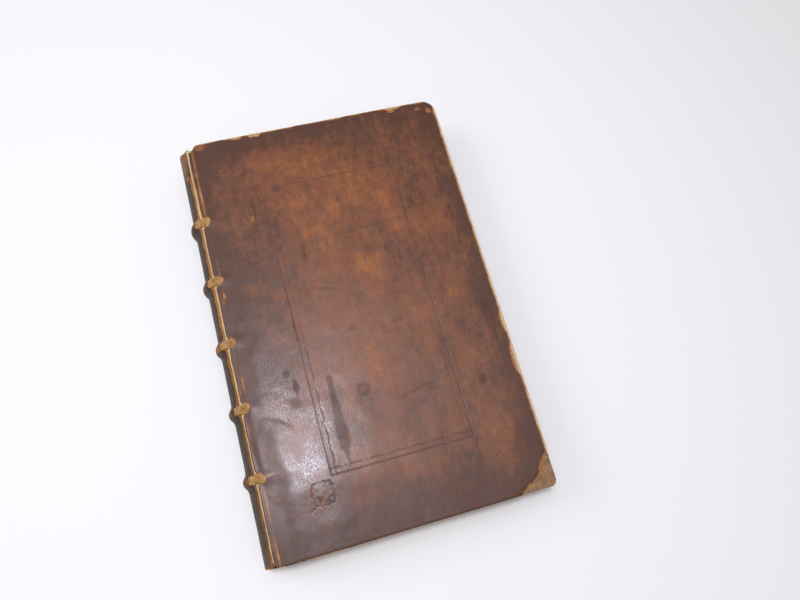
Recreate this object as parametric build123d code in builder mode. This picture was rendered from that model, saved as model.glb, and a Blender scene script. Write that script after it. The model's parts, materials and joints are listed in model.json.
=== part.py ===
from build123d import *
import os
from math import sqrt, asin, degrees, radians, cos, sin

os.makedirs("parts", exist_ok=True)

# A closed folio lies on its back cover. +Z is up, +Y is towards the head, +X towards the fore-edge.
# The origin is under the middle of the book, on the surface that it lies on. Millimetres.

# Covers
cover_width = 200.0  # back arris of a board to its fore-edge, over the leather
cover_height = 326.0  # head to tail, over the leather
book_thickness = 40.0  # outside of one cover to the outside of the other
board_thickness = 3.6
leather_thickness = 0.9
turn_in_width = 14.0
turn_in_thickness = 0.5  # pared thin and pressed flush into the board
arris_radius = 0.8
head_fore_radius = 11.0  # the covers' corners, in plan
head_joint_radius = 3.0
tail_joint_radius = 2.0
tail_fore_radius = 5.0
worn_corner_along_tail = 27.0  # leather lost from the front cover's tail fore-edge corner
worn_corner_along_fore = 28.0

# Pages
square = 4.0  # how far the covers stand past the pages
pastedown_thickness = 0.25
pastedown_margin = 0.5
fore_edge_hollow = 6.0

# Spine and joints
joint_width = 5.5  # back arris of a board to the line where its joint bends
crack_half_width = 0.8
spine_round = 8.5  # how far the rounded spine stands past the joint line
lining_thickness = 0.5
lining_lap = 3.5  # the linings' turn over the shoulder
spine_inset = 0.8  # the spine is this much shorter than the boards at each end
cap_depth = 5.5

# Bands, cords and endbands
band_count = 5
band_pitch = 49.4
band_shift = -3.7  # the middle band is a little nearer to the tail
band_width = 12.0
band_height = 3.0
band_crest_width = 8.0  # the round part of a band, between its flanks
band_flank_height = 1.0
cord_width = 6.0
cord_height = 3.5  # a cord stands this far past the pages' spine
slip_thickness = 2.0  # the cord's frayed and flattened end
slip_length = 14.0  # back arris of the board to the lacing hole
lacing_hole_radius = 2.6
cord_rounding = 1.2
endband_stop = 4.0  # degrees of the spine's arc between an endband's end and the joint line

# Clearances
fit = 0.1  # between pieces of one cover or of the block
running_gap = 0.2  # between the block and what swings beside it
notch_gap = 0.4  # each side of a cord in its notch in the shoulder

# Places that follow from the sizes
spine_reach = joint_width + spine_round + band_height
board_back_x = (spine_reach - cover_width) / 2
fore_x = board_back_x + cover_width
hinge_x = board_back_x - joint_width
mid_z = book_thickness / 2
half_height = cover_height / 2
leather_under_z = book_thickness - leather_thickness
board_inner_z = leather_under_z - board_thickness
page_top_z = board_inner_z - pastedown_thickness
page_half_height = half_height - square
page_fore_x = fore_x - square
mid_plane = Plane.XY.offset(mid_z)
band_ys = [band_shift + band_pitch * ((band_count - 1) / 2 - i) for i in range(band_count)]

# The rounded spine is an arc through the two joint lines
spine_radius = (mid_z**2 + spine_round**2) / (2 * spine_round)
spine_centre_x = hinge_x - spine_round + spine_radius
page_radius = spine_radius - leather_thickness - lining_thickness
shoulder_z = leather_under_z - lining_thickness - running_gap
spine_axis = Axis((spine_centre_x, 0, mid_z), (0, 1, 0))
spine_half_angle = degrees(asin(mid_z / spine_radius))
spine_half_length = half_height - spine_inset
cap_under_y = spine_half_length - leather_thickness
endband_radius = (cap_under_y - page_half_height - 2 * fit) / 2
slip_top_z = leather_under_z - fit
slip_under_z = slip_top_z - slip_thickness
notch_floor_z = slip_under_z - running_gap
notch_width = cord_width + 2 * notch_gap
endband_half_angle = spine_half_angle - endband_stop


def arc_x(radius, z):
    """X of the spine's arc of this radius at a height."""
    return spine_centre_x - sqrt(radius**2 - (z - mid_z) ** 2)


def section_plane(y):
    """The plane across the spine at a place along it, with Z up in the sketch."""
    return Plane.XZ.offset(-y)


def spine_plane(y, angle=spine_half_angle):
    """The plane through the spine's axis, turned down to the back joint, with X measured from the axis."""
    a = radians(angle)
    return Plane(origin=(spine_centre_x, y, mid_z), x_dir=(-cos(a), 0, -sin(a)), z_dir=(sin(a), 0, -cos(a)))


def page_section(grow):
    """Outline of the backed pages, or of the pages with a layer of this thickness around their spine."""
    tip_z = shoulder_z + grow
    tip_x = arc_x(page_radius + grow, tip_z)
    root_x = board_back_x - running_gap
    top_z = page_top_z + grow
    with BuildSketch() as section:
        with BuildLine():
            Line((root_x, top_z), (tip_x, tip_z))
            ThreePointArc(
                (tip_x, tip_z), (spine_centre_x - page_radius - grow, mid_z), (tip_x, book_thickness - tip_z)
            )
            Line((tip_x, book_thickness - tip_z), (root_x, book_thickness - top_z))
            Line((root_x, book_thickness - top_z), (page_fore_x, book_thickness - top_z))
            hollow = (page_fore_x - fore_edge_hollow, mid_z)
            ThreePointArc((page_fore_x, book_thickness - top_z), hollow, (page_fore_x, top_z))
            Line((page_fore_x, top_z), (root_x, top_z))
        make_face()
    return section.sketch


def ring_section(inner, outer):
    """The stretch between two arcs of the spine, on the spine's side of the joint lines."""
    with BuildSketch() as section:
        with Locations((spine_centre_x, mid_z)):
            Circle(outer)
            Circle(inner, mode=Mode.SUBTRACT)
        with Locations((hinge_x + spine_radius, mid_z)):
            Rectangle(2 * spine_radius, 2 * spine_radius, mode=Mode.SUBTRACT)
        with Locations((hinge_x, mid_z)):
            Rectangle(2 * spine_reach, book_thickness, mode=Mode.INTERSECT)
    return section.sketch


def cord_section(grow):
    """Outline of a sewing cord over the spine and into the shoulders' notches, with a clearance around it."""
    outer = page_radius + cord_height + grow
    end_x = hinge_x - fit + grow
    top_z = slip_top_z + grow
    under_z = slip_under_z
    with BuildSketch() as section:
        with BuildLine():
            for side in (1, -1):
                top = mid_z + side * (top_z - mid_z)
                under = mid_z + side * (under_z - mid_z)
                Polyline((arc_x(outer, top_z), top), (end_x, top), (end_x, under))
                Line((end_x, under), (arc_x(page_radius, under_z), under))
            for radius, z in ((outer, top_z), (page_radius, under_z)):
                middle = (spine_centre_x - radius, mid_z)
                ThreePointArc((arc_x(radius, z), z), middle, (arc_x(radius, z), book_thickness - z))
        make_face()
    return section.sketch


def cover_outline(inset):
    """A cover's plan, or that of the board inside leather of this thickness."""
    with BuildSketch() as plan:
        with BuildLine():
            FilletPolyline(
                (board_back_x, half_height - inset),
                (fore_x - inset, half_height - inset),
                (fore_x - inset, inset - half_height),
                (board_back_x, inset - half_height),
                radius=[
                    head_joint_radius - inset,
                    head_fore_radius - inset,
                    tail_fore_radius - inset,
                    tail_joint_radius - inset,
                ],
                close=True,
            )
        make_face()
    return plan.sketch


def turn_in_outline():
    """Plan of the leather turned in over the inside of a board at the head, fore-edge and tail."""
    clear_x = fore_x - leather_thickness - turn_in_width
    clear_half = half_height - leather_thickness - turn_in_width
    outline = cover_outline(leather_thickness)
    with BuildSketch() as plan:
        add(outline)
        with Locations(((board_back_x + clear_x) / 2, 0)):
            Rectangle(clear_x - board_back_x, 2 * clear_half, mode=Mode.SUBTRACT)
    return plan.sketch


def build_board():
    """A pasteboard with a rebate for the turn-ins, and a channel and hole for each laced cord."""
    outline = cover_outline(leather_thickness)
    turn_ins = turn_in_outline()
    with BuildPart() as board:
        with BuildSketch(Plane.XY.offset(board_inner_z)):
            add(outline)
        extrude(amount=board_thickness)
        with BuildSketch(Plane.XY.offset(board_inner_z)):
            add(turn_ins)
        extrude(amount=turn_in_thickness, mode=Mode.SUBTRACT)
        channel_depth = leather_under_z - slip_under_z
        channel_length = slip_length + lacing_hole_radius
        with BuildSketch(Plane.XY.offset(leather_under_z)):
            with Locations(*[(board_back_x + channel_length / 2, y) for y in band_ys]):
                Rectangle(channel_length, cord_width + 2 * fit)
        extrude(amount=-channel_depth, mode=Mode.SUBTRACT)
        with BuildSketch(Plane.XY.offset(leather_under_z)):
            with Locations(*[(board_back_x + slip_length, y) for y in band_ys]):
                Circle(lacing_hole_radius)
        extrude(amount=-board_thickness, mode=Mode.SUBTRACT)
    return board.part


def build_cover_leather(joint_edge_x):
    """The leather over a board, out to its edge in the joint, around the edges and turned in."""
    outside = cover_outline(0)
    inside = cover_outline(leather_thickness)
    turn_ins = turn_in_outline()
    with BuildPart() as leather:
        with BuildSketch(Plane.XY.offset(board_inner_z)):
            add(outside)
        extrude(amount=book_thickness - board_inner_z)
        outer_edges = leather.faces().sort_by(Axis.Z)[-1].edges().sort_by(Axis.X)[1:]
        fillet(outer_edges, radius=arris_radius)
        with BuildSketch(Plane.XY.offset(leather_under_z)):
            with Locations(((joint_edge_x + board_back_x + head_joint_radius) / 2, 0)):
                Rectangle(board_back_x + head_joint_radius - joint_edge_x, 2 * spine_half_length)
        extrude(amount=leather_thickness)
        with BuildSketch(Plane.XY.offset(board_inner_z)):
            add(inside)
            with Locations((board_back_x, 0)):
                Rectangle(2 * head_joint_radius, cover_height)
        extrude(amount=board_thickness, mode=Mode.SUBTRACT)
        with BuildSketch(Plane.XY.offset(board_inner_z)):
            add(turn_ins)
        extrude(amount=turn_in_thickness)
    return leather.part


def build_pastedown():
    """The paper pasted over the inside of a board, over the edges of the turn-ins."""
    near_x = board_back_x + pastedown_margin
    far_x = page_fore_x - pastedown_margin
    with BuildPart() as pastedown:
        with BuildSketch(Plane.XY.offset(page_top_z)):
            with Locations(((near_x + far_x) / 2, 0)):
                Rectangle(far_x - near_x, 2 * (page_half_height - pastedown_margin))
        extrude(amount=pastedown_thickness)
    return pastedown.part


def build_slip(y):
    """A cord's laced end: flat across the joint and along its channel, then down its hole."""
    near_x = hinge_x + running_gap
    far_x = board_back_x + slip_length
    with BuildPart() as slip:
        with BuildSketch(Plane.XY.offset(slip_under_z)):
            with Locations(((near_x + far_x) / 2, y)):
                Rectangle(far_x - near_x, cord_width)
        extrude(amount=slip_thickness)
        with BuildSketch(Plane.XY.offset(board_inner_z)):
            with Locations((far_x, y)):
                Circle(lacing_hole_radius - fit)
        extrude(amount=slip_top_z - board_inner_z)
    return slip.part


def save(part, name):
    part.label = name
    export_step(part, f"parts/{name}.step")


# Pages: rounded and backed, with notches in the shoulders for the cords
bare_section = page_section(0)
lined_section = page_section(lining_thickness)
with BuildPart() as text_block:
    with BuildSketch(section_plane(0)):
        add(bare_section)
    extrude(amount=page_half_height, both=True)
    for y in band_ys:
        with BuildSketch(section_plane(y)):
            for z in ((notch_floor_z + book_thickness) / 2, (book_thickness - notch_floor_z) / 2):
                with Locations((board_back_x - spine_reach / 2, z)):
                    Rectangle(spine_reach, book_thickness - notch_floor_z)
        extrude(amount=notch_width / 2, both=True, mode=Mode.SUBTRACT)
save(text_block.part, "text_block")

# Linings: pasted over the spine and its shoulders, one in each panel between the cords
panel_ends = [page_half_height]
for y in band_ys:
    panel_ends += [y + notch_width / 2, y - notch_width / 2]
panel_ends.append(-page_half_height)
lining_edge_x = hinge_x + lining_lap
for i in range(band_count + 1):
    top_y = panel_ends[2 * i]
    bottom_y = panel_ends[2 * i + 1]
    with BuildPart() as spine_lining:
        with BuildSketch(section_plane((top_y + bottom_y) / 2)):
            add(lined_section)
            add(bare_section, mode=Mode.SUBTRACT)
            with Locations(((fore_x + lining_edge_x) / 2, mid_z)):
                Rectangle(fore_x - lining_edge_x, 2 * book_thickness, mode=Mode.SUBTRACT)
        extrude(amount=(top_y - bottom_y) / 2, both=True)
    save(spine_lining.part, f"spine_lining_{i + 1}")

# Sewing cords: over the spine, into the shoulders' notches and up to the joint lines
bare_cord = cord_section(0)
covered_cord = cord_section(fit)
for i, y in enumerate(band_ys):
    with BuildPart() as sewing_cord:
        with BuildSketch(section_plane(y)):
            add(bare_cord)
        extrude(amount=cord_width / 2, both=True)
        outer_arcs = sewing_cord.edges().filter_by(GeomType.CIRCLE).group_by(SortBy.RADIUS)[-1]
        fillet(outer_arcs, radius=cord_rounding)
    save(sewing_cord.part, f"sewing_cord_{i + 1}")

# Endbands: wound cores along the spine's ends, between the pages and the caps
for name, side in (("head_endband", 1), ("tail_endband", -1)):
    with BuildPart() as endband:
        with BuildSketch(spine_plane(side * (page_half_height + fit + endband_radius), endband_half_angle)):
            with Locations((page_radius - endband_radius - fit, 0)):
                Circle(endband_radius)
        revolve(axis=spine_axis, revolution_arc=2 * endband_half_angle)
    save(endband.part, name)

# Spine leather: round the spine, moulded over the cords, with a cap turned in at each end
wall_section = ring_section(spine_radius - leather_thickness, spine_radius)
cap_section = ring_section(spine_radius - cap_depth, spine_radius)
band_root = spine_radius - leather_thickness / 2
with BuildPart() as spine_leather:
    with BuildSketch(section_plane(0)):
        add(wall_section)
    extrude(amount=spine_half_length, both=True)
    for y in (spine_half_length - leather_thickness / 2, leather_thickness / 2 - spine_half_length):
        with BuildSketch(section_plane(y)):
            add(cap_section)
        extrude(amount=leather_thickness / 2, both=True)
    for y in band_ys:
        with BuildSketch(spine_plane(y)):
            with BuildLine():
                flank = (spine_radius + band_flank_height, band_crest_width / 2)
                crest = (spine_radius + band_height, 0)
                Polyline((flank[0], flank[1]), (spine_radius, band_width / 2), (band_root, band_width / 2))
                Line((band_root, band_width / 2), (band_root, -band_width / 2))
                Polyline((band_root, -band_width / 2), (spine_radius, -band_width / 2), (flank[0], -flank[1]))
                ThreePointArc((flank[0], -flank[1]), crest, flank)
            make_face()
        revolve(axis=spine_axis, revolution_arc=2 * spine_half_angle)
    for y in band_ys:
        with BuildSketch(section_plane(y)):
            add(covered_cord)
        extrude(amount=cord_width / 2 + fit, both=True, mode=Mode.SUBTRACT)
    # Bands flatten into the joints, and the front joint's crack takes the leather's edge
    crack_edge_x = hinge_x - crack_half_width
    with BuildSketch(section_plane(0)):
        for z in (book_thickness + mid_z - running_gap, running_gap - mid_z):
            with Locations((board_back_x, z)):
                Rectangle(cover_width, book_thickness)
        with Locations((crack_edge_x + cover_width / 2, mid_z + book_thickness / 2)):
            Rectangle(cover_width, book_thickness)
        with Locations((hinge_x + cover_width / 2, mid_z)):
            Rectangle(cover_width, 2 * book_thickness)
    extrude(amount=cover_height, both=True, mode=Mode.SUBTRACT)
save(spine_leather.part, "spine_leather")

# Front cover: its leather has split from the spine's and is worn off one corner
save(build_board(), "front_board")
save(build_pastedown(), "front_pastedown")
for i, y in enumerate(band_ys):
    save(build_slip(y), f"front_cord_slip_{i + 1}")
with BuildPart() as front_leather:
    add(build_cover_leather(hinge_x + crack_half_width))
    with BuildSketch(Plane.XY):
        with BuildLine():
            Polyline(
                (fore_x, -half_height),
                (fore_x, worn_corner_along_fore - half_height),
                (fore_x - worn_corner_along_tail, -half_height),
                (fore_x, -half_height),
            )
        make_face()
    extrude(amount=book_thickness, mode=Mode.SUBTRACT)
save(front_leather.part, "front_leather")

# Back cover: the front's mirror image, with whole leather up to the joint line
save(mirror(build_board(), about=mid_plane), "back_board")
save(mirror(build_pastedown(), about=mid_plane), "back_pastedown")
for i, y in enumerate(band_ys):
    save(mirror(build_slip(y), about=mid_plane), f"back_cord_slip_{i + 1}")
save(mirror(build_cover_leather(hinge_x + fit), about=mid_plane), "back_leather")
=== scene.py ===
"""An antique calf folio: worn leather, laced boards, sewn pages. Millimetres until a mesh is made."""

import itertools
import json
import math

import bpy
import numpy as np
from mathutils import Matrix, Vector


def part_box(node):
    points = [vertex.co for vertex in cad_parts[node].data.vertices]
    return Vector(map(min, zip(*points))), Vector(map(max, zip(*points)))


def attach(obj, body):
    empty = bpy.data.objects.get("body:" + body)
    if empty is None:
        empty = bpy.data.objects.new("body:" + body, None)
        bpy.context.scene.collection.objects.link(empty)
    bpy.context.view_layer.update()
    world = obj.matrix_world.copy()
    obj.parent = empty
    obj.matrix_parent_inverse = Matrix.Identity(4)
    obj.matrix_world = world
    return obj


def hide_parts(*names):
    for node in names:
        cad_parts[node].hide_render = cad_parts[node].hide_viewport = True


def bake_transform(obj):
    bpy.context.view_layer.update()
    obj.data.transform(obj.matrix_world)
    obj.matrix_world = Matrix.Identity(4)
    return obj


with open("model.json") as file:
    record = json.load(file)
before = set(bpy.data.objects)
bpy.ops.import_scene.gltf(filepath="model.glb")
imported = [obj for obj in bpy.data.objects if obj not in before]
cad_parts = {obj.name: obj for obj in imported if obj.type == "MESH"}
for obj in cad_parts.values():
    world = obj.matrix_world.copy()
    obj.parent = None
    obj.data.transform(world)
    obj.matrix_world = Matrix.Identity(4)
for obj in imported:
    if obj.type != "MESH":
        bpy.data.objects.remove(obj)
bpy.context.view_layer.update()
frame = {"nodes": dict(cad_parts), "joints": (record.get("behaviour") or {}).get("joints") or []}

MM = 0.001

# --- places taken from the frame


def corners(node):
    low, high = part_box(node)
    return np.array(low) / MM, np.array(high) / MM


_, leather_high = corners("front_leather")
board_low, board_high = corners("front_board")
page_low, page_high = corners("text_block")
lining_low, _ = corners("spine_lining_3")
spine_low, spine_high = corners("spine_leather")
JOINT_X = board_low[0]  # a board's back arris; the front cover's u runs from here to the fore-edge
WIDTH = leather_high[0] - JOINT_X
HEAD_Y = leather_high[1]  # the front cover's v runs down from here
HEIGHT = 2 * HEAD_Y
TOP_Z = leather_high[2]
MID_Z = TOP_Z / 2
LEATHER = TOP_Z - board_high[2]
COVER_DEPTH = TOP_Z - board_low[2]
HINGE_X = frame["joints"][0]["pos_m"][0] / MM
HINGE_U = HINGE_X - JOINT_X
cord_boxes = [corners(f"sewing_cord_{i}") for i in range(1, 6)]
BANDS_V = np.array([HEAD_Y - (low[1] + high[1]) / 2 for low, high in cord_boxes])
BANDS_Y = HEAD_Y - BANDS_V
SPINE_APEX_X = lining_low[0] - LEATHER
SPINE_ROUND = HINGE_X - SPINE_APEX_X
SPINE_RADIUS = (MID_Z**2 + SPINE_ROUND**2) / (2 * SPINE_ROUND)
SPINE_CENTRE_X = SPINE_APEX_X + SPINE_RADIUS
SPINE_HALF = spine_high[1]
BAND_HEIGHT = SPINE_APEX_X - spine_low[0]

# --- small tools


def smooth(low, high, value):
    """0 below low, 1 above high, eased between."""
    t = np.clip((value - low) / (high - low), 0, 1)
    return t * t * (3 - 2 * t)


def fall(low, high, value):
    """1 below low, 0 above high, eased between."""
    return 1 - smooth(low, high, value)


def between(value, low, high, soft=0.6):
    """1 from low to high, eased to 0 outside."""
    return smooth(low - soft, low + soft, value) * fall(high - soft, high + soft, value)


def bell(value, width):
    """1 at zero, falling to 0.37 at one width away."""
    return np.exp(-((value / width) ** 2))


def from_oval(u, v, centre_u, centre_v, half_u, half_v):
    """0 at an oval's centre, 1 on its outline."""
    return np.hypot((u - centre_u) / half_u, (v - centre_v) / half_v)


def patch(u, v, *oval):
    """A soft oval, 1 at its centre."""
    return bell(from_oval(u, v, *oval), 1)


def blots(u, v, spots, ragged, inner, outer):
    """A ragged oval for each spot of centre u and v, half-width, half-height and strength."""
    return [strength * fall(inner, outer, from_oval(u, v, *oval) + ragged) for *oval, strength in spots]


def from_cord(v):
    """Distance along the spine from the nearest sewing cord."""
    return np.min(abs(v[..., None] - BANDS_V), axis=-1)


def noise(x, y, seed):
    """Smooth noise from -1 to 1, with a feature about every unit."""
    table = np.random.default_rng(seed).uniform(-1, 1, (128, 128))
    x, y = np.broadcast_arrays(np.asarray(x, float), np.asarray(y, float))
    column, row = np.floor(x).astype(int), np.floor(y).astype(int)
    fx, fy = x - column, y - row
    fx, fy = fx * fx * (3 - 2 * fx), fy * fy * (3 - 2 * fy)

    def at(i, j):
        return table[(column + i) % 128, (row + j) % 128]

    return (at(0, 0) * (1 - fx) + at(1, 0) * fx) * (1 - fy) + (at(0, 1) * (1 - fx) + at(1, 1) * fx) * fy


def rough(x, y, size, seed, octaves=4):
    """Layered noise, about -1 to 1, whose largest features are size across."""
    total, weight = 0, 0
    for k in range(octaves):
        total = total + noise(x / size * 2**k, y / size * 2**k, seed + k) * 0.5**k
        weight += 0.5**k
    return total / weight * 1.6


def steps(stretches):
    """Rising places along a line: each stretch is (start, end, spacing)."""
    places = []
    for start, end, spacing in stretches:
        count = max(1, round((end - start) / spacing))
        places.extend(np.linspace(start, end, count, endpoint=False))
    return np.array(places + [stretches[-1][1]])


def grid_quads(points, flip=False):
    """The quads between a grid's points, as the points' numbers."""
    rows, columns = points.shape[:2]
    index = np.arange(rows * columns).reshape(rows, columns)
    quads = np.stack([index[:-1, :-1], index[:-1, 1:], index[1:, 1:], index[1:, :-1]], axis=-1)
    return quads[..., ::-1] if flip else quads


def grid_object(name, xyz, keep=None, masks=None, flip=False):
    """A mesh from the x, y and z of a grid of points, with a number per point in each mask."""
    points = np.stack(xyz, -1)
    quads = grid_quads(points, flip)
    quads = quads.reshape(-1, 4) if keep is None else quads[keep]
    flat_masks = {mask: values.reshape(-1) for mask, values in (masks or {}).items()}
    return mesh_object(name, points.reshape(-1, 3), quads, flat_masks)


def add_object(name, data):
    """A new object in the scene."""
    made = bpy.data.objects.new(name, data)
    bpy.context.scene.collection.objects.link(made)
    return made


def mesh_object(name, points, faces, masks=None):
    """A smooth mesh object, its masks held to 0 to 1. Points within a micron become one; unused ones go."""
    faces = np.asarray(faces)
    keys = np.round(points * 1000).astype(np.int64)
    _, first, same = np.unique(keys, axis=0, return_index=True, return_inverse=True)
    faces = same.reshape(-1)[faces]
    used, compact = np.unique(faces, return_inverse=True)
    faces = compact.reshape(faces.shape)
    source = first[used]
    loops = [list(dict.fromkeys(f)) for f in faces.tolist()]
    loops = [f for f in loops if len(f) > 2]
    mesh = bpy.data.meshes.new(name)
    mesh.from_pydata((points[source] * MM).tolist(), [], loops)
    for mask, values in (masks or {}).items():
        layer = mesh.attributes.new(mask, "FLOAT", "POINT")
        layer.data.foreach_set("value", np.clip(values[source], 0, 1).astype(np.float32))
    mesh.polygons.foreach_set("use_smooth", [True] * len(mesh.polygons))
    mesh.update()
    return add_object(name, mesh)


def joined(grids):
    """Points, quads and one mask of several (x y z, mask value, flip) grids as one."""
    points, quads, mask, offset = [], [], [], 0
    for xyz, value, flip in grids:
        grid = np.stack(xyz, -1)
        quads.append(grid_quads(grid, flip).reshape(-1, 4) + offset)
        points.append(grid.reshape(-1, 3))
        mask.append(np.full(len(points[-1]), value))
        offset += len(points[-1])
    return np.concatenate(points), np.concatenate(quads), np.concatenate(mask)


def place(piece, body, slot, material, *nodes):
    """Gives a piece its body and material, and hides the CAD nodes that it stands for. The slot is not used.
    """
    piece.data.materials.append(material)
    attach(piece, body)
    if nodes:
        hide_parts(*nodes)


# --- materials


def colour(red, green, blue):
    """A linear colour from 8-bit sRGB values."""
    shares = (red / 255, green / 255, blue / 255)
    return (*(c / 12.92 if c <= 0.04045 else ((c + 0.055) / 1.055) ** 2.4 for c in shares), 1)


class Nodes:
    """A node tree in short calls. Places in the texture are millimetres in the part's own frame."""

    def __init__(self, name):
        self.material = bpy.data.materials.new(name)
        self.material.use_nodes = True
        self.tree = self.material.node_tree
        self.shader = self.tree.nodes["Principled BSDF"]
        self.place = self.stretched(self.node("TexCoord").outputs["Object"], (1 / MM, 1 / MM, 1 / MM))

    def node(self, kind, **settings):
        made = self.tree.nodes.new("ShaderNode" + kind)
        for key, value in settings.items():
            setattr(made, key, value)
        return made

    def link(self, value, socket):
        if isinstance(value, bpy.types.NodeSocket):
            self.tree.links.new(value, socket)
        else:
            socket.default_value = value

    def stretched(self, place, amounts):
        made = self.node("VectorMath", operation="MULTIPLY")
        self.link(place, made.inputs[0])
        self.link(amounts, made.inputs[1])
        return made.outputs["Vector"]

    def math(self, operation, *values, clamp=False):
        made = self.node("Math", operation=operation, use_clamp=clamp)
        for socket, value in zip(made.inputs, values):
            self.link(value, socket)
        return made.outputs[0]

    def times(self, first, second):
        return self.math("MULTIPLY", first, second)

    def plus(self, total, value, amount, clamp=False):
        """total + value * amount"""
        return self.math("ADD", total, self.times(value, amount), clamp=clamp)

    def texture(self, kind, size, stretch, **settings):
        made = self.node(kind, **settings)
        self.link(self.stretched(self.place, stretch), made.inputs["Vector"])
        made.inputs["Scale"].default_value = 1 / size
        return made

    def noise(self, size, detail=4, roughness=0.55, stretch=(1, 1, 1)):
        made = self.texture("TexNoise", size, stretch)
        made.inputs["Detail"].default_value = detail
        made.inputs["Roughness"].default_value = roughness
        return made.outputs["Fac"]

    def cells(self, size, feature="DISTANCE_TO_EDGE", stretch=(1, 1, 1)):
        return self.texture("TexVoronoi", size, stretch, feature=feature).outputs["Distance"]

    def specks(self, size, low, high):
        """Round specks: 1 within low of a cell's point, 0 past high."""
        return self.range(self.cells(size, "F1"), low, high, 1, 0)

    def mask(self, name):
        return self.node("Attribute", attribute_name=name).outputs["Fac"]

    def range(self, value, low, high, new_low=0, new_high=1):
        made = self.node("MapRange", interpolation_type="SMOOTHSTEP")
        names = ("Value", "From Min", "From Max", "To Min", "To Max")
        for key, given in zip(names, (value, low, high, new_low, new_high)):
            self.link(given, made.inputs[key])
        return made.outputs["Result"]

    def mix(self, amount, first, second):
        made = self.node("Mix", data_type="RGBA")
        self.link(amount, made.inputs[0])
        self.link(first, made.inputs[6])
        self.link(second, made.inputs[7])
        return made.outputs[2]

    def finish(self, base, roughness, height=None, depth=0.1, **constants):
        """Links the look to the shader; height is a 0 to 1 relief whose full depth is in millimetres."""
        self.link(base, self.shader.inputs["Base Color"])
        self.link(roughness, self.shader.inputs["Roughness"])
        if height is not None:
            bump = self.node("Bump")
            bump.inputs["Strength"].default_value = 1
            bump.inputs["Distance"].default_value = depth * MM
            self.link(height, bump.inputs["Height"])
            self.link(bump.outputs["Normal"], self.shader.inputs["Normal"])
        for key, value in constants.items():
            self.shader.inputs[key.replace("_", " ")].default_value = value
        return self.material


CALF_DARK = colour(85, 51, 35)
CALF_BROWN = colour(124, 73, 43)
CALF_ORANGE = colour(165, 97, 40)
CALF_TAN = colour(158, 102, 54)
CALF_FIBRE = colour(214, 184, 140)
STAIN = colour(42, 34, 28)
SPINE_OLIVE = colour(106, 82, 62)


def calf_material(name, base_brown, base_dark, shine):
    """Old calf. Masks: tone (dark to orange), wear (sound to bare fibre), stain, and polish from handling."""
    n = Nodes(name)
    tone, wear, stain, polish = n.mask("tone"), n.mask("wear"), n.mask("stain"), n.mask("polish")
    clouds = n.noise(26, 6, 0.6)
    mottle = n.noise(5, 7, 0.7, stretch=(1, 0.55, 1))
    streaks = n.noise(1.1, 3, 0.6, stretch=(1, 0.07, 1))
    weave = n.noise(1.6, 2, 0.5, stretch=(0.1, 1, 1))
    shade = n.plus(n.times(clouds, 0.3), mottle, 0.34)
    shade = n.plus(n.plus(shade, streaks, 0.13), weave, 0.08)
    shade = n.plus(tone, n.math("SUBTRACT", shade, 0.5), 3.2, clamp=True)
    brown = n.mix(n.range(shade, 0, 0.55), base_dark, base_brown)
    base = n.mix(n.range(shade, 0.45, 1), brown, CALF_ORANGE)
    spots = n.times(n.specks(2.6, 0, 0.42), n.range(n.noise(9, 3), 0.5, 0.66))
    base = n.mix(n.times(spots, 0.35), base, base_dark)
    pits = n.times(n.specks(5.5, 0.03, 0.12), n.range(n.noise(12, 2), 0.46, 0.54))
    base = n.mix(n.times(pits, 0.65), base, STAIN)
    base = n.mix(n.times(stain, 0.85), base, STAIN)
    fray = n.plus(wear, n.math("SUBTRACT", n.noise(1.5, 6, 0.75), 0.5), 0.95)
    base = n.mix(n.range(fray, 0.16, 0.5), base, CALF_TAN)
    base = n.mix(n.range(fray, 0.5, 0.95), base, CALF_FIBRE)
    pores = n.range(n.cells(0.55, "F1"), 0, 0.5)
    cracks = n.range(n.cells(1.9, stretch=(1, 0.4, 1)), 0, 0.05)
    relief = n.plus(n.times(pores, 0.3), cracks, 0.22)
    relief = n.plus(n.plus(relief, streaks, 0.35), n.noise(3, 4), 0.5)
    relief = n.plus(relief, n.noise(1.8, 5, 0.65, stretch=(0.55, 1.5, 1)), 0.6)
    dullness = n.math("SUBTRACT", n.range(clouds, 0.3, 0.7, 0.47, 0.54), n.times(polish, 0.25))
    dullness = n.plus(dullness, n.math("SUBTRACT", mottle, 0.5), 0.25)
    dullness = n.plus(dullness, stain, 0.3)
    dullness = n.plus(dullness, n.range(fray, 0.16, 0.6), 0.4, clamp=True)
    return n.finish(base, dullness, relief, 0.11, **shine)


def paper_material(name, light, dark, layers=False):
    """Aged paper: foxed and toned, or, where the mask cut is 1, seen edge on as leaves."""
    n = Nodes(name)
    clouds = n.noise(30, 5, 0.6)
    fibres = n.noise(0.8, 4, 0.6)
    base = n.mix(n.range(clouds, 0.3, 0.8, 0, 0.75), light, dark)
    laid = n.noise(1.2, 2, 0.5, stretch=(0.03, 1, 0))
    base = n.mix(n.range(laid, 0.4, 0.7, 0, 0.18), base, dark)
    foxing = n.times(n.range(n.noise(4, 4, 0.6), 0.62, 0.75), n.range(clouds, 0.4, 0.6))
    spots = n.times(n.specks(9, 0.02, 0.2), n.range(n.noise(24, 2), 0.48, 0.6))
    foxing = n.math("MAXIMUM", foxing, spots)
    base = n.mix(n.times(foxing, 0.5), base, colour(150, 104, 62))
    relief = fibres
    if layers:
        leaves = n.noise(0.24, 3, 0.7, stretch=(0.012, 0.012, 1))
        bundles = n.noise(1.5, 3, 0.6, stretch=(0.01, 0.01, 1))
        cut = n.mask("cut")
        base = n.mix(n.times(cut, n.range(leaves, 0.35, 0.7, 0, 0.55)), base, colour(122, 92, 60))
        base = n.mix(n.times(cut, n.range(bundles, 0.5, 0.75, 0, 0.6)), base, colour(96, 70, 46))
        relief = n.times(cut, leaves)
    return n.finish(base, 0.85, relief, 0.12 if layers else 0.03, Specular_IOR_Level=0.25)


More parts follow.
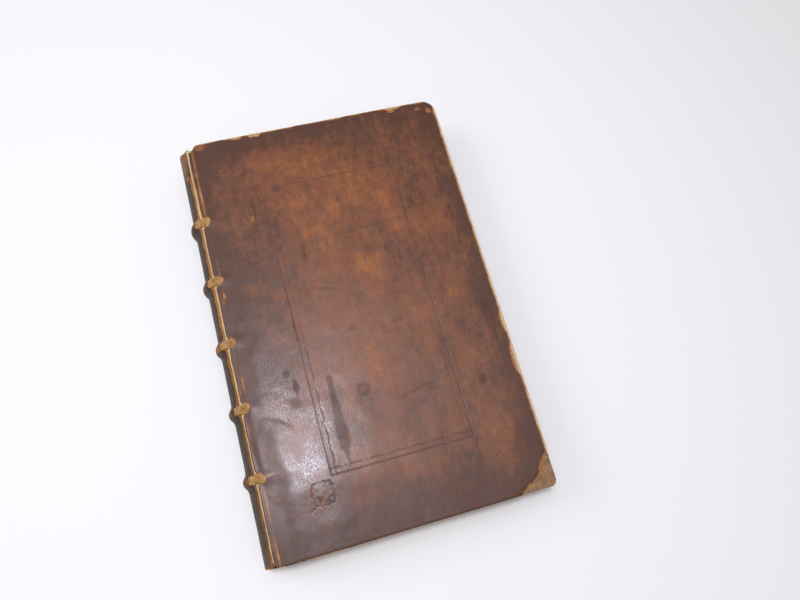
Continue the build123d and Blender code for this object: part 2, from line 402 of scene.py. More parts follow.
def board_material():
    """Pasteboard of rag waste: grey-brown, fibrous and layered."""
    n = Nodes("pasteboard")
    layers = n.noise(0.5, 3, 0.7, stretch=(0.06, 0.06, 1))
    fibres = n.noise(0.7, 5, 0.75)
    clumps = n.noise(4, 4, 0.65)
    base = n.mix(n.range(clumps, 0.3, 0.7), colour(158, 122, 90), colour(126, 98, 74))
    base = n.mix(n.range(fibres, 0.45, 0.75, 0, 0.6), base, colour(190, 156, 116))
    base = n.mix(n.range(layers, 0.5, 0.72, 0, 0.6), base, colour(98, 74, 56))
    relief = n.plus(n.times(layers, 0.5), fibres, 0.6)
    return n.finish(base, 0.92, relief, 0.22, Specular_IOR_Level=0.2)


def cord_material(name, light, dark):
    """Hemp cord or thread: fibrous, with grime between the strands, whose mask is groove."""
    n = Nodes(name)
    fibres = n.noise(0.35, 4, 0.7, stretch=(0.4, 1, 1))
    grime = n.noise(3, 4, 0.6)
    base = n.mix(n.range(grime, 0.35, 0.7), light, dark)
    base = n.mix(n.times(n.mask("groove"), 0.5), base, colour(84, 54, 32))
    base = n.mix(n.range(fibres, 0.5, 0.8, 0, 0.4), base, colour(214, 180, 124))
    return n.finish(base, 0.88, fibres, 0.1, Specular_IOR_Level=0.2)


POLISHED = {"Specular_IOR_Level": 0.42, "Coat_Weight": 0.16, "Coat_Roughness": 0.24}
DULL = {"Specular_IOR_Level": 0.12, "Coat_Weight": 0}
calf = calf_material("calf", CALF_BROWN, CALF_DARK, POLISHED)
spine_calf = calf_material("spine_calf", SPINE_OLIVE, colour(68, 54, 45), DULL)
page_edges = paper_material("page_edges", colour(196, 170, 126), colour(168, 138, 96), layers=True)
pastedown_paper = paper_material("pastedown_paper", colour(206, 188, 150), colour(184, 160, 118))
lining_paper = paper_material("lining_paper", colour(222, 198, 148), colour(200, 170, 116))
pasteboard = board_material()
hemp = cord_material("hemp_cord", colour(186, 146, 92), colour(146, 104, 60))
endband_thread = cord_material("endband_thread", colour(186, 160, 116), colour(150, 118, 78))

# --- covers

ARRIS = 1.3  # rounding of a cover's outer edge
LOWER_ARRIS = 0.7  # the same where the wrap turns under
TURN_IN_SEEN = 9  # how far the turn-in is modelled, which is past the pastedown's edge
CORNER_RADII = {"head_fore": 11, "head_joint": 3, "tail_joint": 2, "tail_fore": 5}
QUARTER = np.radians([22.5, 45, 67.5, 90])
round_in, round_down = 1 - np.sin(QUARTER), 1 - np.cos(QUARTER)
edge_inset = np.r_[ARRIS * round_in, [0, 0], LOWER_ARRIS * round_down, [2, 4, 6, TURN_IN_SEEN]]
lower_round = COVER_DEPTH - LOWER_ARRIS * round_in
edge_drop = np.r_[ARRIS * round_down, [2.2, 3.1], lower_round, [COVER_DEPTH] * 4]


def plan(u, v, inset):
    """The cover's plan at an inset from its outline, for places given on the flat top's own rectangle."""
    right, top, bottom = WIDTH - inset, inset, HEIGHT - inset
    x = u * right / (WIDTH - ARRIS)
    y = top + (v - ARRIS) * (bottom - top) / (HEIGHT - 2 * ARRIS)
    for corner, radius in CORNER_RADII.items():
        r = max(radius - inset, 0.3)
        side_x = 1 if "fore" in corner else -1
        side_y = -1 if "head" in corner else 1
        centre_x = right - r if side_x > 0 else r
        centre_y = top + r if side_y < 0 else bottom - r
        a, b = side_x * (x - centre_x) / r, side_y * (y - centre_y) / r
        inside = (a > 0) & (b > 0)
        a, b = np.clip(a, 0, 1), np.clip(b, 0, 1)
        x = np.where(inside, centre_x + side_x * r * a * np.sqrt(1 - b * b / 2), x)
        y = np.where(inside, centre_y + side_y * r * b * np.sqrt(1 - a * a / 2), y)
    return x, y


def cover_leather(name, us, vs, joint_edge, relief, masks, gone=None, flip=False):
    """Leather over a board: sheet, joint strip, edge wraps and turn-ins in one mesh.

    joint_edge(v) is the strip's ragged edge in u, relief(u, v) the sheet's height, and depth how far down the
    wrap is in masks(u, v, depth) and gone(u, v, depth), which is true where the leather is lost."""
    flex = us[0]
    strip = np.linspace(0, 1, 16)
    lip = [0.5, 1]
    wraps = len(edge_inset)
    column_count = len(lip) + len(strip) - 1 + len(us) + wraps
    row_count = len(vs) + 2 * wraps
    row_v = np.r_[[vs[0]] * wraps, vs, [vs[-1]] * wraps]
    levels = np.r_[np.arange(wraps, 0, -1), np.zeros(len(vs), int), np.arange(1, wraps + 1)]
    inset_of = np.r_[[ARRIS], edge_inset]
    drop_of = np.r_[[0], edge_drop]
    points = np.zeros((row_count, column_count, 3))
    for r, (v, level) in enumerate(zip(row_v, levels)):
        inset, drop = inset_of[level], drop_of[level]
        edge = joint_edge(v)
        strip_u = edge + (flex - edge) * strip[:-1]
        x_sheet, y_sheet = plan(us, v, inset)
        x_strip, y_strip = plan(np.clip(strip_u, 0, None), v, inset)
        x_strip = np.where(strip_u < 0, strip_u, x_strip)
        x_wall, y_wall = np.array([plan(us[-1], v, i) for i in edge_inset]).T
        points[r, :, 0] = np.r_[[edge] * len(lip), x_strip, x_sheet, x_wall]
        points[r, :, 1] = np.r_[[y_strip[0]] * len(lip), y_strip, y_sheet, y_wall]
        points[r, :, 2] = -drop
        if level == 0:
            points[r, -wraps:, 2] = -edge_drop
        points[r, : len(lip), 2] -= LEATHER * np.array(lip[::-1])
    u, v = points[..., 0].copy(), points[..., 1].copy()
    depth = -points[..., 2]
    points[..., 2] += relief(u, v) * np.clip(1 - depth / COVER_DEPTH, 0, 1)
    keep = np.ones((row_count - 1, column_count - 1), bool)
    for corner_rows in (slice(0, wraps), slice(row_count - wraps - 1, None)):
        keep[corner_rows, column_count - wraps - 1 :] = False
    first_sheet = len(lip) + len(strip) - 1
    thin = drop_of[levels] > LEATHER
    thin_face = thin[:-1] | thin[1:]
    on_strip = np.arange(column_count - 1) < first_sheet
    middle_u = (points[:-1, :-1, 0] + points[1:, 1:, 0]) / 2
    keep &= ~(thin_face[:, None] & on_strip[None, :] & (middle_u < 0))
    if gone is not None:
        lost = gone(u, v, depth)
        keep &= ~(lost[:-1, :-1] & lost[1:, :-1] & lost[:-1, 1:] & lost[1:, 1:])
        for _ in range(3):  # drops single faces and spikes
            ring = np.pad(keep, 1).astype(int)
            keep &= ring[:-2, 1:-1] + ring[2:, 1:-1] + ring[1:-1, :-2] + ring[1:-1, 2:] >= 2
    z = TOP_Z + points[..., 2]
    world = (JOINT_X + points[..., 0], HEAD_Y - points[..., 1], TOP_Z - z if flip else z)
    return grid_object(name, world, keep, masks(u, v, depth), flip=not flip)


# --- tooling on the front cover

FRAME_LEFT, FRAME_RIGHT = 43.9, 150.4
FRAME_LEAN = 0.0055  # how much the left line runs over per millimetre down
FRAME_HEAD, FRAME_TAIL = 50.4, 276.8
FILLET_GAP = 1.9
LINE = 0.36
SCALLOP_PITCH = 15.1
SCALLOP_RISE = 1.5
BORDER_INSET = 4.6


def line_mask(distance):
    """A tooled line, from the distance to its middle."""
    return bell(distance, LINE)


def scallops(along, across, length, start=0):
    """A roll of shallow arcs with a dot between them, run along a line."""
    pitch = length / round(length / SCALLOP_PITCH)
    phase = ((along - start) / pitch) % 1
    t = (phase - 0.5) / 0.37
    arc = SCALLOP_RISE * np.sqrt(np.clip(1 - t * t, 0, 1))
    on_arc = bell(across - 1.2 - arc, 0.4) * (abs(t) < 1)
    dot = bell(np.hypot((abs(phase - 0.5) - 0.5) * pitch, across - 2.4), 0.65)
    return np.maximum(on_arc, dot) * between(along, 0, length)


def fleuron(u, v, corner_u, corner_v, out_u, out_v):
    """A worn leafy square stamped outside a corner of the frame: scrolled outline, two curls and a stalk."""
    a, b = (u - corner_u) * out_u - 8.6, (v - corner_v) * out_v - 10.4
    angle = np.arctan2(b, a)
    box = (abs(a) ** 3.2 + abs(b) ** 3.2 + 1e-9) ** (1 / 3.2)
    parts = [bell(box - 8 - 0.5 * np.cos(14 * angle), 0.45)]
    for curl_a, curl_b, radius in ((4.9, 4.8, 2.2), (-5.2, 4.8, 2)):
        away = np.hypot(a - curl_a, b - curl_b)
        parts += [bell(away - radius, 0.4), 0.7 * bell(away, 0.7)]
    parts.append(bell((a - b) / math.sqrt(2), 0.8) * between(a + b, 15.5, 21.5))
    return np.maximum.reduce(parts) * np.clip(0.68 + 0.5 * rough(u, v, 5, 35, 3), 0, 0.9)


def tooling(u, v):
    """How deeply the front cover is tooled, 0 to 1."""
    left = FRAME_LEFT + FRAME_LEAN * (v - FRAME_HEAD)
    left_line = line_mask(u - left) + 0.14 * line_mask(u - left - FILLET_GAP)
    right_line = 0.75 * line_mask(u - FRAME_RIGHT) + 0.3 * line_mask(u - FRAME_RIGHT + FILLET_GAP)
    down = (0.6 + 0.4 * smooth(90, 160, v)) * left_line + right_line
    across = (0.32 + 0.78 * between(u, 56, 145, 8)) * line_mask(v - FRAME_HEAD) + line_mask(v - FRAME_TAIL)
    depth = down * between(v, FRAME_HEAD, FRAME_TAIL) + across * between(u, left, FRAME_RIGHT)
    width, height = FRAME_RIGHT - FRAME_LEFT, FRAME_TAIL - FRAME_HEAD
    clearer_low = 0.12 + 0.55 * smooth(120, 225, v)
    depth *= np.clip(0.85 + 0.4 * rough(u, v, 26, 33, 3), 0.2, 1)
    depth += 0.7 * scallops(u - left, FRAME_TAIL - FILLET_GAP - v, width, 11.3)
    depth += clearer_low * scallops(v - FRAME_HEAD, u - left - FILLET_GAP, height, 10.3)
    depth += 0.7 * clearer_low * scallops(v - FRAME_HEAD, FRAME_RIGHT - FILLET_GAP - u, height)
    depth += 0.1 * scallops(u - FRAME_LEFT, v - FRAME_HEAD - FILLET_GAP, width)
    depth += fleuron(u, v, FRAME_LEFT + FRAME_LEAN * height, FRAME_TAIL, -1, 1)
    depth += 0.45 * fleuron(u, v, FRAME_RIGHT, FRAME_TAIL, 1, 1)
    depth += 0.3 * fleuron(u, v, FRAME_LEFT, FRAME_HEAD, -1, -1)
    depth += 0.35 * fleuron(u, v, FRAME_RIGHT, FRAME_HEAD, 1, -1)
    border = 0.3 * line_mask(u - BORDER_INSET) * smooth(270, 290, v) + line_mask(WIDTH - BORDER_INSET - u)
    border *= between(v, BORDER_INSET, HEIGHT - BORDER_INSET)
    across = line_mask(v - BORDER_INSET) + 0.5 * line_mask(HEIGHT - BORDER_INSET - v)
    border += across * between(u, BORDER_INSET, WIDTH - BORDER_INSET)
    depth += border * (0.3 + 0.25 * rough(u, v, 30, 31, 2))
    return np.clip(depth, 0, 1.15)


# --- wear and stains on the front cover

WORN_CORNER = [  # u, v along the edge of the leather that is left
    (169.5, 328), (172.5, 323.7), (176, 321.7), (181.5, 319.8), (185.5, 317.3),
    (189.3, 313.4), (191.3, 309), (195.2, 304.6), (198.6, 300.2), (202, 295),
]
# Ovals on the cover: u, v, half-width, half-height and amount.
TONE_PATCHES = [
    (112, 100, 62, 88, 0.27),
    (60, 35, 45, 22, 0.16),
    (172, 235, 22, 60, 0.14),
    (22, 180, 30, 60, -0.16),
    (95, 225, 75, 75, 0.12),
    (38, 290, 15, 13, -0.14),
]
STAINS = [
    (64, 110, 3.4, 8.5, 0.5),
    (114, 118, 6, 7, 0.5),
    (100.5, 73, 4, 4, 0.4),
    (55.5, 52, 4.5, 5, 0.5),
    (169, 239, 4, 3.5, 0.4),
    (85.5, 177, 3.5, 3, 0.3),
    (72, 174, 3.5, 3, 0.25),
    (120, 179, 6, 4, 0.3),
    (35, 210, 2.6, 6.5, 0.8),
    (30, 199, 3.2, 2.8, 0.7),
    (32, 221.5, 4.5, 4.5, 0.4),
    (160, 40, 9, 10, 0.2),
    (188, 196, 5, 22, 0.35),
]
SCUFFS = [
    (32, 74.5, 2.6, 3.4, 0.42),
    (29.5, 71, 1.2, 1.6, 0.36),
    (6.5, 282.5, 1.2, 2.4, 0.34),
    (8.5, 309, 1, 2.2, 0.34),
    (150.5, 153, 1, 0.8, 0.7),
    (129, 210.5, 3.4, 0.4, 0.5),
    (65.5, 160.5, 0.7, 0.7, 0.45),
    (4.5, 171.5, 3, 1.2, 0.3),
    (5, 265, 3, 1.2, 0.4),
    (163, 4.6, 4, 1.3, 0.55),
    (184.5, 6.6, 4.2, 1.8, 0.4),
    (193.8, 10.6, 2.6, 3.4, 0.5),
]
HANDLED_SPOTS = [
    (20.5, 261, 4.5, 9, 0.35),
    (30, 267, 6.5, 7, 0.35),
    (24, 205, 5, 11, 0.35),
]
STREAK_U = 59.5  # a long run of something spilt
STREAK_V = [206, 209, 224, 238, 250, 259, 267, 275]
STREAK_HALF = [0, 1.9, 2.4, 3.4, 4.4, 3.7, 1.6, 0]
RING_U, RING_V, RING_RADIUS = 81.75, 223.75, 3.4
SCRATCHES = [  # from u, v to u, v, width, strength
    (27, 36, 41, 32, 0.5, 0.6),
    (90, 101.5, 145, 99, 1, 0.35),
    (66, 140, 84, 146, 0.9, 0.3),
    (108, 236, 133, 231, 0.9, 0.35),
]


def from_segment(u, v, u0, v0, u1, v1):
    """Distance from a straight run between two places."""
    du, dv = u1 - u0, v1 - v0
    t = np.clip(((u - u0) * du + (v - v0) * dv) / (du * du + dv * dv), 0, 1)
    return np.hypot(u - u0 - t * du, v - v0 - t * dv)


def corner_side(u, v):
    """Distance inside the worn corner's boundary: positive on sound leather."""
    best = np.full(np.shape(u), 1e9)
    sign = np.ones(np.shape(u))
    for (u0, v0), (u1, v1) in zip(WORN_CORNER[:-1], WORN_CORNER[1:]):
        du, dv = u1 - u0, v1 - v0
        away = from_segment(u, v, u0, v0, u1, v1)
        side = np.sign((u - u0) * dv - (v - v0) * du)
        closer = away < best
        best, sign = np.where(closer, away, best), np.where(closer, side, sign)
    return best * sign


def front_edge(v):
    """The split strip's ragged edge: it reaches the joint's crack between the cords and is gone over them."""
    widening = 0.5 * fall(50, 90, v)
    edge = HINGE_U + 0.15 + widening + 0.35 * float(rough(v, 0, 9, 5, 4))
    for band in BANDS_V:
        torn = -1.6 + 1.3 * float(rough(v, band, 3, 7, 3))
        edge += (torn - edge) * float(np.exp(-(abs((v - band) / 3.7) ** 3)))
    return edge


def front_relief(u, v):
    """Height of the front leather's surface over its flat top."""
    height = -0.22 * tooling(u, v)
    height += 0.26 * rough(u, v, 46, 11, 3) + 0.06 * rough(u, v, 9, 12, 3)
    height -= 0.5 * fall(0, 17.5 + 3.5 * rough(0, v, 32, 47, 3), u) + 0.3 * smooth(277, 300, v)
    wander = 0.8 * rough(u, v, 8, 43, 2)
    crease = bell(v - 225 - 0.035 * (u - 8) ** 2 + wander, 2.2) * between(u, 6, 28, 4)
    wrinkles = abs(rough(u * 0.5, v * 1.3, 4, 45, 3)) * patch(u, v, 18, 212, 20, 26)
    height -= 0.22 * crease + 0.05 * wrinkles
    height += 0.06 * abs(rough(u, v, 6, 41, 3)) * bell(np.hypot(u - 37, v - 287), 13)
    height -= 0.5 * smooth(1, HINGE_U, u)
    for band in BANDS_V:
        height += 0.5 * bell(v - band, 4.5) * bell(u - 1, 6)
    height -= 0.3 * smooth(0.5, 1, edge_wear(u, v))
    height -= 0.5 * fall(-0.6, 2.4, corner_side(u, v) + 0.9 * rough(u, v, 4, 51, 4))
    return np.maximum(height, 0.12 - LEATHER)


def edge_wear(u, v):
    """How far the leather is rubbed through along the front cover's edges."""
    ragged = rough(u, v, 7, 61, 4)
    from_fore = WIDTH - u
    deep_fore = 1.7 * between(v, 193, 207, 3) + 2.2 * between(v, 220, 241, 4)
    fore = fall(1, 3.5, from_fore - deep_fore * (1 + 0.5 * ragged) + 0.6 * ragged)
    fore *= 0.95 - 0.3 * smooth(1.5, 2.6, from_fore)
    deep_head = 2 * between(u, 30, 38, 2) + 3.4 * between(u, 44, 53, 2) + 2.2 * between(u, 158, 170, 3)
    head = 0.72 * fall(0.5, 2.3, v - deep_head * (0.8 + 0.5 * ragged) + 0.7 * ragged)
    tail = fall(0.2, 1.4, HEIGHT - v + 0.5 * ragged)
    tail *= (0.3 + 0.32 * between(u, 4, 42, 6)) * (0.7 + 0.6 * ragged)
    patchy = rough(u * 1.5, v, 11, 65, 4)
    in_head_or_tail = fall(58, 80, v) + smooth(262, 280, v)
    joint_lines = [
        bell(u + 1.9, 1) * (0.1 + 0.42 * in_head_or_tail + 0.3 * patchy),
        bell(u + 0.6, 0.9) * between(v, 74, 133, 4) * (0.54 + 0.35 * patchy),
        bell(u + 0.6, 0.7) * between(v, 180, 215, 6) * (0.34 + 0.4 * patchy),
    ]
    strip = smooth(-0.6, -2.6, u) * (0.04 + 0.1 * in_head_or_tail + 0.3 * patchy)
    head_joint = 0.36 * fall(1.5, 5.5, np.hypot(0.7 * (u - 3), v - 4) + 2.5 * ragged)
    corner = 0.5 * fall(0, 2, corner_side(u, v) + 1.4 * ragged)
    bands = 0
    for band in BANDS_V:
        spread = (abs(v - band + 0.8 * ragged) / 4.8) ** 1.4
        spread += (abs(u + 2.6 + 0.8 * patchy) / 4.4) ** 1.4
        bands = bands + 0.68 * fall(0.55, 1.15, spread + 0.25 * rough(u, v, 2.2, 67, 3))
    radius = CORNER_RADII["head_fore"]
    from_round = radius - np.hypot(np.maximum(u - WIDTH + radius, 0), np.maximum(radius - v, 0))
    round_ = 0.62 * fall(0.3, 2, from_round + 0.7 * ragged) * (u > WIDTH - radius) * (v < radius)
    worn = [fore, head, tail, *joint_lines, strip, head_joint, corner, bands, round_]
    return np.clip(np.maximum.reduce(worn), 0, 1)


def front_tone(u, v):
    """From the dark of the edges to the orange of the middle."""
    from_edge = np.minimum.reduce([u + 4, WIDTH - u, v, HEIGHT - v])
    tone = 0.18 + 0.32 * smooth(0, 34, from_edge) - 0.1 * smooth(270, 320, v)
    tone += sum(amount * patch(u, v, *oval) for *oval, amount in TONE_PATCHES)
    return tone + 0.16 * rough(u, v, 34, 71, 4) + 0.08 * rough(u * 1.6, v * 0.5, 14, 75, 3)


def front_stain(u, v):
    """Grime in the tooling, darker towards the tail beside the joint with a painted grey from the sheen,
    crackle, a spill, a ring, scratches and spots.
    """
    grime = 0.75 * np.clip(tooling(u, v), 0, 1)
    # darker towards the tail beside the joint; its grey is painted, standing in for the grey-violet cast of
    # the sheen there
    darker_greyer_tail = smooth(284, 318, v) * fall(45, 85, u) * (0.2 + 0.1 * rough(u, v, 12, 101, 3))
    crackle = 0.75 * smooth(0.05, 0.5, rough(u, v, 2.2, 83, 3)) * patch(u, v, 34, 291, 8, 7)
    half_width = np.interp(v, STREAK_V, STREAK_HALF)
    wander = 0.7 * rough(u, v, 7, 81, 4)
    streak = fall(-0.9, 0.9, abs(u - STREAK_U + wander) - half_width)
    streak *= 0.66 * smooth(0.2, 1, half_width) * (0.9 + 0.2 * rough(u, v, 4, 85, 3))
    from_ring = np.hypot(u - RING_U, v - RING_V)
    ring = np.clip(bell(from_ring - RING_RADIUS, 1.9) + 0.5 * bell(from_ring, 1), 0, 1)
    ring *= 0.5 * (0.9 + 0.15 * rough(u, v, 4, 87, 3))
    wobble = 0.3 * rough(u, v, 6, 89, 2)
    scratches = [
        strength * bell(from_segment(u, v, *ends) + wobble, width) for *ends, width, strength in SCRATCHES
    ]
    spots = blots(u, v, STAINS, 0.25 * rough(u, v, 5, 91, 3), 0.45, 1.15)
    return np.maximum.reduce([grime, darker_greyer_tail, crackle, streak, ring, *scratches, *spots])


def front_wear(u, v, depth):
    """How far the leather is rubbed through: edges, scuffs and the outer walls."""
    scuffs = blots(u, v, SCUFFS, 0.3 * rough(u, v, 2, 93, 3), 0.5, 1.2)
    wall = 0.14 * smooth(0.3, 1.5, depth) * (depth < COVER_DEPTH - 0.5)
    rubbed_down = fall(0.9, 2.4, depth + 1.5 * rough(v, depth * 3, 9, 95, 4))
    fore_wall = smooth(WIDTH - 2.5, WIDTH - 0.5, u) * smooth(0.1, 0.8, depth) * (0.24 + 0.66 * rubbed_down)
    wear = np.maximum.reduce([edge_wear(u, v), *scuffs, wall, fore_wall])
    return np.where(depth > COVER_DEPTH - 0.3, 0.12, wear)


def front_polish(u, v, tone):
    """Shine from hands, mostly beside the joint towards the tail."""
    nearest = 12 - 6 * between(v, 178, 236, 8)
    left_side = smooth(nearest, nearest + 7, u + 4 * rough(u, v, 16, 96, 4))
    tail_side = fall(276, 287, v + 2 * rough(u, v, 9, 98, 3))
    handled = left_side * fall(62, 92, u) * smooth(130, 205, v) * tail_side
    handled *= 0.72 + 0.3 * rough(u, v, 12, 97, 4)
    handled += sum(blots(u, v, HANDLED_SPOTS, 0.35 * rough(u, v, 5, 99, 4), 0.5, 1.25))
    handled += 0.3 * patch(u, v, 40, 294, 18, 13)
    return np.maximum(handled, 0.3 * smooth(0.3, 0.9, tone))


def front_masks(u, v, depth):
    tone = front_tone(u, v)
    wear, stain, polish = front_wear(u, v, depth), front_stain(u, v), front_polish(u, v, tone)
    return dict(tone=tone, wear=wear, stain=stain, polish=polish)


def front_gone(u, v, depth):
    """Leather lost from the worn corner, and torn off at the head of the joint."""
    side = corner_side(u, v) + 0.9 * rough(u, v, 4, 51, 4)
    side += 1.6 * rough(depth * 2, u + v, 5, 57, 3) * (depth > 0.9)
    torn_head = v < 1.2 + 0.95 * (2.2 - u) + 0.5 * rough(u, v, 3, 53, 3)
    return (side < -0.2) | torn_head


columns = [(6, 24, 1.1), (24, 50, 0.5), (50, 144, 1.1), (144, 170, 0.55), (170, 192, 1.1)]
rows = [(ARRIS, 8, 0.6), (8, 32, 1.2), (32, 56, 0.55), (56, 262, 1.3), (262, 299, 0.5), (299, HEIGHT - 6, 1)]
front_us = steps([*columns, (192, WIDTH - ARRIS, 0.6)])
front_vs = steps([*rows, (HEIGHT - 6, HEIGHT - ARRIS, 0.6)])
front = cover_leather("front_calf", front_us, front_vs, front_edge, front_relief, front_masks, front_gone)
place(front, "front_cover", "calf", calf, "front_leather")

# --- back cover


def back_relief(u, v):
    """Height of the back leather's surface: a plain ruled frame on a nearly flat sheet."""
    down = bell(u - FRAME_LEFT, 0.8) + bell(u - FRAME_RIGHT, 0.8)
    across = bell(v - FRAME_HEAD, 0.8) + bell(v - FRAME_TAIL, 0.8)
    lines = down * between(v, FRAME_HEAD, FRAME_TAIL) + across * between(u, FRAME_LEFT, FRAME_RIGHT)
    return -0.25 * np.clip(lines, 0, 1) + 0.05 * rough(u, v, 50, 111, 3) - 0.06


def back_masks(u, v, depth):
    from_edge = np.minimum.reduce([u + 6, WIDTH - u, v, HEIGHT - v])
    tone = 0.2 + 0.4 * smooth(0, 40, from_edge) + 0.2 * rough(u, v, 40, 121, 4)
    from_rim = np.minimum.reduce([WIDTH - u, v, HEIGHT - v])
    wear = 0.6 * fall(0.6, 2.4, from_rim + 0.8 * rough(u, v, 8, 131, 4))
    wall = smooth(0.3, 1.2, depth) * (depth < COVER_DEPTH - 0.3)
    low_on_wall = fall(0.8, 2.6, depth + 1.6 * rough(u + v, depth * 3, 11, 133, 4))
    wear = np.where(wall > 0, wall * (0.1 + 0.42 * low_on_wall), wear)
    wear = np.where(depth > COVER_DEPTH - 0.3, 0.12, wear)
    stain = -back_relief(u, v) * 2 * (abs(v - HEIGHT / 2) < HEIGHT / 2 - 20)
    return dict(tone=tone, wear=wear, stain=stain - 0.2, polish=0.3 + 0.3 * rough(u, v, 50, 123, 2))


columns = [(6, 40, 2.2), (40, 48, 0.8), (48, 146, 2.4), (146, 154, 0.8), (154, 194, 2.2)]
rows = [(ARRIS, 6, 1), (6, 47, 2.3), (47, 54, 0.8), (54, 273, 2.4), (273, 280, 0.8)]
back_us = steps([*columns, (194, WIDTH - ARRIS, 1)])
back_vs = steps([*rows, (280, HEIGHT - ARRIS, 2)])
back = cover_leather("back_calf", back_us, back_vs, lambda v: HINGE_U, back_relief, back_masks, flip=True)
place(back, "back_cover", "calf", calf, "back_leather")

# --- spine leather

CAP_TURN = 5.5  # how far the caps turn in at the spine's ends
TORN_HEAD = 3.6  # how much lower the spine leather's head is beside the split joint
SPINE_HALF_ANGLE = math.asin(MID_Z / SPINE_RADIUS)


def band_profile(y):
    """How far the leather stands over the cords along the spine, 0 to 1."""
    return np.clip(sum(np.exp(-(abs((y - band) / 4.3) ** 2.6)) for band in BANDS_Y), 0, 1)


def spine_edge(v):
    """How far the spine leather's split edge lies from the hinge line, along the arc."""
    edge = 2.2 + 0.2 * fall(50, 90, v) + 0.4 * rough(v, 0, 8, 141, 4)
    for band in BANDS_V:
        torn = 4.4 + 1.2 * rough(v, band, 3, 145, 3)
        edge = edge + (torn - edge) * np.exp(-(abs((v - band) / 3.2) ** 3))
    return edge


def build_spine():
    """The spine leather from the split in the front joint round to the back joint, with its caps."""
    turn = np.radians([30, 60, 90])
    cap_inset = np.r_[1 - np.cos(turn), [2.5, 4, CAP_TURN - 0.6, CAP_TURN, CAP_TURN]]
    cap_rise = np.r_[np.sin(turn), [1.05, 1, 0.7, 0.1, -2.6]]
    straight = steps([(-SPINE_HALF + 1, SPINE_HALF - 1, 1.3)])
    over_cords = (BANDS_Y[:, None] + np.arange(-8, 8.01, 0.5)).ravel()
    straight = np.sort(np.r_[straight[from_cord(HEAD_Y - straight) > 8.3], over_cords])
    rows_y = np.r_[-(SPINE_HALF - 1 + cap_rise)[::-1], straight, SPINE_HALF - 1 + cap_rise]
    rows_inset = np.r_[cap_inset[::-1], np.zeros(len(straight)), cap_inset]
    arc = np.linspace(0, 1, 60)
    y = np.broadcast_to(rows_y[:, None], (len(rows_y), len(arc) + 2))
    v = HEAD_Y - np.clip(y, -SPINE_HALF, SPINE_HALF)
    start = SPINE_HALF_ANGLE - spine_edge(v[:, 0]) / SPINE_RADIUS
    angle = start[:, None] + (-SPINE_HALF_ANGLE - start)[:, None] * arc[None, :]
    angle = np.concatenate([angle[:, :1], angle[:, :1], angle], axis=1)
    fade = smooth(0, 7, MID_Z - 0.2 - abs(SPINE_RADIUS * np.sin(angle)))
    along = angle * SPINE_RADIUS
    over_cord = band_profile(y)
    bump = BAND_HEIGHT * over_cord * (0.15 + 0.85 * fade)
    bump = bump + 0.12 * rough(y, along, 18, 151, 4) * fade - rows_inset[:, None]
    nick = bell(y - (HEAD_Y - 26), 2) * bell(along - 15, 3)
    bump = bump - 0.5 * nick
    radius = SPINE_RADIUS + bump
    radius[:, 0] -= LEATHER
    radius[:, 1] -= LEATHER / 2
    torn = TORN_HEAD * smooth(0.2, 0.9, (angle + 0.05 * rough(along, 0, 2.5, 143, 3)) / SPINE_HALF_ANGLE)
    x = np.minimum(SPINE_CENTRE_X - radius * np.cos(angle), HINGE_X)
    torn_y = y - torn * smooth(SPINE_HALF - 14, SPINE_HALF, y)
    z = np.clip(MID_Z + radius * np.sin(angle), 0.02, TOP_Z - 0.1)
    from_split = along[:, 2:3] - along
    ragged = rough(y, along, 6, 161, 4)
    to_cord = from_cord(v)
    rubbed = (0.34 + 0.22 * fall(150, 230, v)) * fall(0.7, 2.4, from_split + 0.9 * ragged)
    split_at_cords = 0.62 * bell(to_cord, 3.6) * fall(1, 3.4, from_split + 0.8 * ragged)
    crests = 0.5 * over_cord * (0.6 + 0.6 * ragged) * smooth(0.35, 0.9, bump / BAND_HEIGHT)
    ends = 0.5 * smooth(SPINE_HALF - 4, SPINE_HALF - 0.5, abs(y)) * (0.8 + 0.5 * ragged)
    wear = np.maximum.reduce([rubbed, split_at_cords, crests, ends])
    wear = wear * (0.25 + 0.75 * smooth(24, 32, HEAD_Y - y))
    split_near_head = 0.42 * bell(y - (HEAD_Y - 42), 12) * fall(0.8, 2.8, from_split + 0.8 * ragged)
    wear = np.maximum.reduce([wear, 0.75 * nick, split_near_head])
    near_head = fall(16, 30, v)
    stain = 0.4 * bell(to_cord - 7, 0.7)
    stain = stain + 0.25 * smooth(0.1, 0.8, rough(y, along, 30, 171, 4)) * (1 - near_head)
    tone = 0.32 + 0.2 * rough(y, along, 26, 181, 4) + 0.55 * near_head
    masks = dict(tone=tone, wear=wear, stain=stain, polish=np.full(tone.shape, 0.1))
    return grid_object("spine_calf", (x, torn_y, z), masks=masks)


place(build_spine(), "text_block", "calf", spine_calf, "spine_leather")

# --- kept CAD nodes

for node, material in (
    ("front_board", pasteboard),
    ("back_board", pasteboard),
    ("front_pastedown", pastedown_paper),
    ("back_pastedown", pastedown_paper),
    *((f"spine_lining_{i}", lining_paper) for i in range(1, 7)),
    *((f"sewing_cord_{i}", hemp) for i in range(1, 6)),
    *((f"{side}_cord_slip_{i}", hemp) for side in ("front", "back") for i in range(1, 6)),
):
    piece = frame["nodes"][node]
    piece.data.materials.clear()
    piece.data.materials.append(material)

# --- pages

PAGE_TOP = corners("front_pastedown")[0][2]
PAGE_HALF = page_high[1]
PAGE_FORE = page_high[0]
PAGE_ROOT = JOINT_X - 0.2  # where the flat of the first leaf turns up into the shoulder
FORE_HOLLOW = 6
FORE_RADIUS = ((PAGE_TOP - MID_Z) ** 2 + FORE_HOLLOW**2) / (2 * FORE_HOLLOW)
SHOULDER_Z = page_high[2]
PAGE_RADIUS = SPINE_CENTRE_X - page_low[0]
NOTCH_FLOOR = corners("front_cord_slip_1")[0][2]
NOTCH_HALF = 3.5
GATHERING = 1.25  # thickness of one folded gathering of leaves
LEAF = 0.13  # height that one leaf takes


